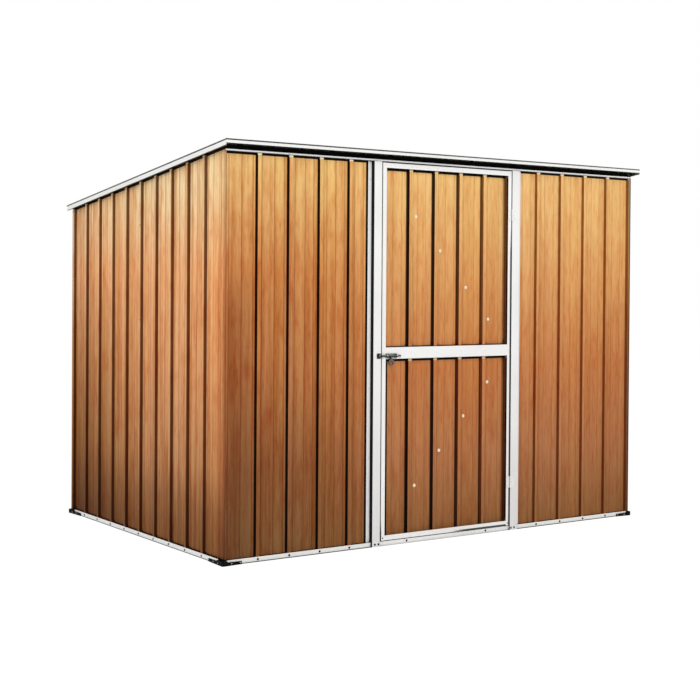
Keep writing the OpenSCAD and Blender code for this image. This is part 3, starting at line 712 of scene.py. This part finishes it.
def plated(name, code, crease_shade="#17140f"):
    """Bright zinc plate with a faint spangle, with painted shade in its corners and on its underside."""
    s = Shader(name)
    place = s.coords.outputs["Object"]
    spangle = s.texture("ShaderNodeTexVoronoi", {"Vector": place, "Scale": 260.0}).outputs["Color"]
    shade = s.node("ShaderNodeSeparateColor", spangle).outputs[0]
    base = s.blend(s.map(shade, 0.0, 1.0, 0.0, 0.5), code, "#8d8d8a")
    # Painted shade on the underside and in the corners
    base = s.blend(s.ease(s.facing["Z"], 0.1, -0.3), base, crease_shade)
    base = s.blend(s.crease_occlusion(12 * MM, 0.86, 0.6), base, crease_shade)
    return s.finish(base, s.map(shade, 0.0, 1.0, 0.25, 0.42), metallic=0.7)


def make_finishes():
    """Gives every CAD node its material and returns those that the fasteners share."""
    # Colour and depths of the painted shade in the frame's corners
    frame_crease_shades = {"crease_shade": "#201f1c", "depths": (0.7, 0.3)}
    white = enamel("white_enamel", "#fdfdfc", **frame_crease_shades)
    foam = plastic("foam", "#030303", 0.85)
    zinc = plated("zinc_plate", "#d0d0cc")
    timbers = make_timbers()
    by_start = {
        "roof_sheet": enamel("roof_enamel", "#f2f2f0", 0.4, extra=soffit),
        "roof_trim": enamel("trim_enamel", "#f6f6f4", extra=trim_edge_shade),
        "top_channel": enamel("channel_enamel", "#ffffff", depths=(0.4, 0.2), extra=lip_shade),
        "base_channel": enamel("base_enamel", "#f8f8f6", extra=ground_shade, **frame_crease_shades),
        "door_post": enamel("post_enamel", "#fefefd", crease_shade="#201f1c", depths=(0.55, 0.25),
                            extra=dark_webs, shine=0.1),
        "door_stile": enamel("stile_enamel", "#fdfdfc", extra=dark_gap, **frame_crease_shades),
        "door_bottom_rail": enamel("rail_enamel", "#fdfdfc", extra=dark_sill, **frame_crease_shades),
        "corner_caps": plastic("black_plastic", "#040404", 0.7),
        "closure": foam,
        "bolt_plate": zinc,
        "bolt": plated("dull_zinc", "#56524c"),
    }
    for name, node in NODES.items():
        if name.endswith("_sheet"):
            material = timbers[name.split("_")[0]]
        else:
            material = next((m for start, m in by_start.items() if name.startswith(start)), white)
        node.data.materials.clear()
        node.data.materials.append(material)
    return {
        "white": white,
        "zinc": zinc,
        "dark": foam,
        "cream": enamel("cream_cap", "#ffecca", depths=(0.2, 0.1)),
        "brown": enamel("brown_head", "#8a5a36"),
    }


# ---- Fasteners ----

# Profiles of turned heads, as (radius, height) in millimetres, with the number of their sides
RIVET = [([(3.6, 0.0), (3.6, 0.5), (3.2, 1.1), (2.3, 1.6), (1.2, 1.8), (1.0, 1.3)], 16)]
BASE_RIVET = [([(5.4, 0.0), (5.4, 0.6), (4.7, 1.3), (3.2, 1.8), (1.4, 2.0)], 16)]
BRACE_SCREW = [([(9.0, 0.0), (9.0, 0.6), (7.8, 1.4), (5.2, 2.1), (2.2, 2.4)], 20)]
PAN_SCREW = [([(3.4, 0.0), (3.4, 0.9), (2.8, 1.6), (1.5, 1.9), (1.2, 1.2)], 16)]
ROOF_SCREW = [
    ([(7.5, 0.0), (7.5, 1.2), (6.6, 2.0)], 24),
    ([(5.4, 1.8), (5.4, 5.2), (4.6, 6.0)], 6),
]

# Share of the base channels' height at which the base rivets stand, and how near to a channel's end
BASE_RIVET_RISE = 0.55
BASE_RIVET_END = 10 * MM
# Shares of the threshold's length and of a door post's face at which their base rivets stand
THRESHOLD_RIVETS = (0.232, 0.776)
POST_RIVETS = (0.4, 0.85)
# Lap rivets: distances of the ends of a row from the ground and the sheet's top, and the spacing
LAP_FOOT = 150 * MM
LAP_HEAD = 350 * MM
LAP_STEP = 450 * MM
# Distances of the cap rivets from a corner, and their height
CAP_RIVETS = (38 * MM, 88 * MM)
CAP_RIVET_HEIGHT = 8 * MM
# Flange rivets: distances from the free edge and the ends of a door post, and the spacing
FLANGE_INSET = 11 * MM
FLANGE_ENDS = 100 * MM
FLANGE_STEP = 350 * MM
# Distances of the roof screws from the ends of the ribs, and of the trim rivets from the trims' edges
ROOF_SCREW_INSET = 16 * MM
TRIM_RIVET_INSET = 15 * MM
# Screws in a hinge leaf: share of its height, and millimetres from its outer edge
HINGE_SCREWS = ((0.16, 8), (0.5, 13), (0.84, 8))
# Screws into the upper and lower brace: sign of the half, rise from its middle line in millimetres, and
# millimetres past the door's ribs
BRACE_SCREWS = (
    (1, 9, (40, 34, 45, 36)),
    (-1, -11, (41, 37, 34, 33)),
)


def turned(profile, sides):
    """Vertices and faces of a closed form turned about Z, in metres."""
    turns = [2 * math.pi * k / sides for k in range(sides)]
    points = [Vector((r * math.cos(a), r * math.sin(a), h)) * MM for r, h in profile for a in turns]
    faces = [list(reversed(range(sides)))]
    for ring in range(len(profile) - 1):
        first = ring * sides
        for k in range(sides):
            after = (k + 1) % sides
            faces.append([first + k, first + after, first + sides + after, first + sides + k])
    faces.append([len(points) - sides + k for k in range(sides)])
    return points, faces


def heads(name, form, seats, material, body="shed"):
    """One piece with a head of this form on each seat, riding on a body."""
    points, faces = [], []
    for at, facing in seats:
        turn = facing.to_track_quat("Z", "Y").to_matrix()
        for profile, sides in form:
            own_points, own_faces = turned(profile, sides)
            faces += [[i + len(points) for i in face] for face in own_faces]
            points += [at + turn @ p for p in own_points]
    mesh = bpy.data.meshes.new(name)
    mesh.from_pydata(points, [], faces)
    mesh.polygons.foreach_set("use_smooth", [True] * len(mesh.polygons))
    mesh.set_sharp_from_angle(angle=math.radians(35))
    mesh.materials.append(material)
    piece = bpy.data.objects.new(name, mesh)
    bpy.context.scene.collection.objects.link(piece)
    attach(piece, body)


def spaced(start, end, step):
    """Places from start to end at about this step, both ends included."""
    count = max(1, round(abs(end - start) / step))
    return [start + (end - start) * k / count for k in range(count + 1)]


def base_rivets():
    """Through the lips of the base channels at each rib, and through the threshold and post feet."""
    low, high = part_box("base_channel_left")
    z = low.z + BASE_RIVET_RISE * (high.z - low.z)
    seats = []
    for side, facing in FACING.items():
        for sheet, u in wall_ribs(side):
            channel = "base_channel_" + (sheet[:-len("_sheet")] if side == "front" else side)
            start, end = (corner[along(side)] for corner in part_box(channel))
            if start + BASE_RIVET_END < u < end - BASE_RIVET_END:
                seats.append(seat(channel, at_wall(side, u, z), facing))
    sill_low, sill_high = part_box("door_threshold")
    for share in THRESHOLD_RIVETS:
        u = sill_low.x + share * (sill_high.x - sill_low.x)
        seats.append(seat("door_threshold", at_wall("front", u, z), FACING["front"]))
    for post in ("door_post_left", "door_post_right"):
        for u in post_places(post, *POST_RIVETS):
            seats.append(seat(post, at_wall("front", u, z), FACING["front"]))
    return seats


def stile_seats(rail):
    """The middles of the faces of the door's two stiles at the height of a rail."""
    seats = []
    for stile in ("door_stile_left", "door_stile_right"):
        at = (middle(stile, 0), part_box(stile)[0].y, middle(rail, 2))
        seats.append(seat(stile, at, FACING["front"]))
    return seats


def door_rivets():
    """Through the rails into the door's ribs, and where the upper rails meet the stiles."""
    facing = FACING["front"]
    seats = []
    for rail in ("door_top_rail", "door_mid_rail", "door_bottom_rail"):
        y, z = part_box(rail)[0].y, middle(rail, 2)
        seats += [seat(rail, (u, y, z), facing) for u in rib_middles("door_sheet", facing)[:-1]]
        if rail != "door_bottom_rail":
            seats += stile_seats(rail)
    return seats


def brace_screws():
    """Through the pans of the door into its braces, beside each rib but the last."""
    facing = FACING["front"]
    split_z = middle("door_mid_rail", 2)
    split_x = middle("door_braces", 0)
    seats = []
    for sign, rise, past_ribs in BRACE_SCREWS:
        half = [p for p in corners("door_braces") if sign * (p.z - split_z) > 0]
        ends = []
        for end in (-1, 1):
            points = [p for p in half if end * (p.x - split_x) > 0]
            ends.append(sum(points, Vector()) / len(points))
        for u, past_rib in zip(rib_middles("door_sheet", facing)[:-1], past_ribs):
            share = (u + past_rib * MM - ends[0].x) / (ends[1].x - ends[0].x)
            place = ends[0].lerp(ends[1], share) + Vector((0, 0, rise * MM))
            seats.append(seat("door_sheet", place, facing))
    return seats


def lap_rivets():
    """Down the ribs where one sheet of a wall laps over the next."""
    seats = []
    for side in ("rear", "left", "right"):
        axis = along(side)
        for name, u in wall_ribs(side):
            boxes = [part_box(other) for other in wall_sheets(side) if other != name]
            if any(low[axis] < u < high[axis] for low, high in boxes):
                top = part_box(name)[1].z
                for z in spaced(LAP_FOOT, top - LAP_HEAD, LAP_STEP):
                    seats.append(seat(name, at_wall(side, u, z), FACING[side]))
    return seats


def flange_rivets():
    """Down the flanges of the door posts, which lap the cladding."""
    seats = []
    for post, sign in (("door_post_left", 1), ("door_post_right", -1)):
        low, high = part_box(post)
        u = (low.x if sign > 0 else high.x) + sign * FLANGE_INSET
        for z in spaced(low.z + FLANGE_ENDS, high.z - FLANGE_ENDS, FLANGE_STEP):
            seats.append(seat(post, (u, low.y, z), FACING["front"]))
    return seats


def hinge_screws(name):
    """Three in each leaf of the two hinges, clear of the knuckles."""
    low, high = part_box(name)
    outer, sign = (low.x, 1) if name == "hinge_door_leaves" else (high.x, -1)
    seats = []
    for bottom, top in spans(name, NODES[name].data.polygons, 2):
        for share, inset in HINGE_SCREWS:
            at = (outer + sign * inset * MM, low.y, bottom + share * (top - bottom))
            seats.append(seat(name, at, FACING["front"]))
    return seats


def bolt_screws(name, inset, drop):
    """In the corners of a plate of the bolt, or up its middle where both insets meet, in millimetres."""
    low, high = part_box(name)
    xs = sorted({low.x + inset * MM, high.x - inset * MM})
    zs = (low.z + drop * MM, high.z - drop * MM)
    return [seat(name, (x, low.y, z), FACING["front"]) for x in xs for z in zs]


def cap_rivets():
    """Two in each leg of the four corner caps."""
    seats = []
    for wall, corner, inward in (("front", FRONT, 1), ("rear", REAR, -1)):
        for side, end in (("left", -1), ("right", 1)):
            for leg in CAP_RIVETS:
                places = {wall: end * (RIGHT - leg), side: corner + inward * leg}
                for face, u in places.items():
                    at = at_wall(face, u, CAP_RIVET_HEIGHT)
                    seats.append(seat("corner_caps_" + wall, at, FACING[face]))
    return seats


def roof_screws():
    """Through each rib of the roof into the front channel, the purlin and the rear channel."""
    rows = (FRONT + ROOF_SCREW_INSET, middle("roof_purlin", 1), REAR - ROOF_SCREW_INSET)
    return [seat(name, (u, y, roof_height(y)), ROOF_NORMAL) for name, u in roof_ribs() for y in rows]


def trim_rivets():
    """Through the flanges of the front and rear roof trims into the ribs."""
    front = ROOF_AT.y + TRIM_RIVET_INSET
    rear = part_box("roof_trim_rear")[1].y - TRIM_RIVET_INSET
    return [seat(name, (u, y, roof_height(y)), ROOF_NORMAL)
            for name, y in (("roof_trim_front", front), ("roof_trim_rear", rear)) for _, u in roof_ribs()]


def make_fasteners(finish):
    """Every row of rivets and screws, each as one piece."""
    white, zinc, dark = finish["white"], finish["zinc"], finish["dark"]
    heads("base_rivets", BASE_RIVET, base_rivets(), dark)
    heads("lap_rivets", RIVET, lap_rivets(), finish["brown"])
    heads("flange_rivets", RIVET, flange_rivets(), white)
    heads("cap_rivets", RIVET, cap_rivets(), zinc)
    heads("roof_screws", ROOF_SCREW, roof_screws(), white)
    heads("trim_rivets", RIVET, trim_rivets(), white)
    heads("door_rivets", RIVET, door_rivets(), white, "door")
    heads("stile_rivets", RIVET, stile_seats("door_bottom_rail"), dark, "door")
    heads("brace_screws", BRACE_SCREW, brace_screws(), finish["cream"], "door")
    heads("hinge_screws_door", PAN_SCREW, hinge_screws("hinge_door_leaves"), white, "door")
    heads("hinge_screws_post", PAN_SCREW, hinge_screws("hinge_post_leaves"), white)
    heads("bolt_plate_screws", PAN_SCREW, bolt_screws("bolt_plate", 13, 4.2), zinc, "door")
    heads("bolt_keeper_screws", PAN_SCREW, bolt_screws("bolt_keeper", 12, 4.2), zinc)


# ---- Studio ----

AMBIENT = 0.54
FLOOR_HALF = 60.0
# The floor's own brightness, and the share of it that shows over its lit surface
FLOOR_GLOW = 1.1
FLOOR_GLOW_SHARE = 0.85

# Softboxes: place, length of a side, and power in watts
SOFTBOXES = {
    "key": ((-4.5, -5.5, 5.0), 4.0, 190),
    "fill": ((5.0, -5.0, 3.5), 4.0, 95),
    "left": ((-6.5, 0.5, 3.5), 3.0, 54),
}


def make_world():
    """An even light, which looks pure white where it is seen."""
    world = bpy.data.worlds.new("studio")
    bpy.context.scene.world = world
    world.use_nodes = True
    world.node_tree.nodes.clear()
    n = Nodes(world.node_tree)
    ambient = n.node("ShaderNodeBackground", WHITE, AMBIENT).outputs[0]
    backdrop = n.node("ShaderNodeBackground", WHITE, 1.0).outputs[0]
    mix = n.node("ShaderNodeMixShader", n.seen(), ambient, backdrop)
    n.node("ShaderNodeOutputWorld", mix.outputs[0])


def make_floor():
    """A pale floor that fades into the backdrop and keeps a soft shadow."""
    h = FLOOR_HALF
    mesh = bpy.data.meshes.new("floor")
    mesh.from_pydata([(-h, -h, 0), (h, -h, 0), (h, h, 0), (-h, h, 0)], [], [(0, 1, 2, 3)])
    floor = bpy.data.objects.new("floor", mesh)
    bpy.context.scene.collection.objects.link(floor)
    material = bpy.data.materials.new("floor")
    material.use_nodes = True
    material.node_tree.nodes.clear()
    n = Nodes(material.node_tree)
    lit = n.node("ShaderNodeBsdfDiffuse", colour("#ededed")).outputs[0]
    glow = n.node("ShaderNodeEmission", WHITE, FLOOR_GLOW).outputs[0]
    share = n.times(n.seen(), FLOOR_GLOW_SHARE)
    mix = n.node("ShaderNodeMixShader", share, lit, glow)
    n.node("ShaderNodeOutputMaterial", mix.outputs[0])
    mesh.materials.append(material)


def make_softboxes():
    """Square lamps that face the middle of the shed."""
    target = Vector((0, 0, TOP / 2))
    for name, (at, size, power) in SOFTBOXES.items():
        data = bpy.data.lights.new(name, "AREA")
        data.shape = "SQUARE"
        data.size = size
        data.energy = power
        lamp = bpy.data.objects.new(name, data)
        turn = (target - Vector(at)).to_track_quat("-Z", "Y").to_matrix().to_4x4()
        lamp.matrix_world = Matrix.Translation(at) @ turn
        bpy.context.scene.collection.objects.link(lamp)


make_camera()
make_fasteners(make_finishes())
make_world()
make_floor()
make_softboxes()
bpy.context.scene.view_settings.view_transform = "Standard"
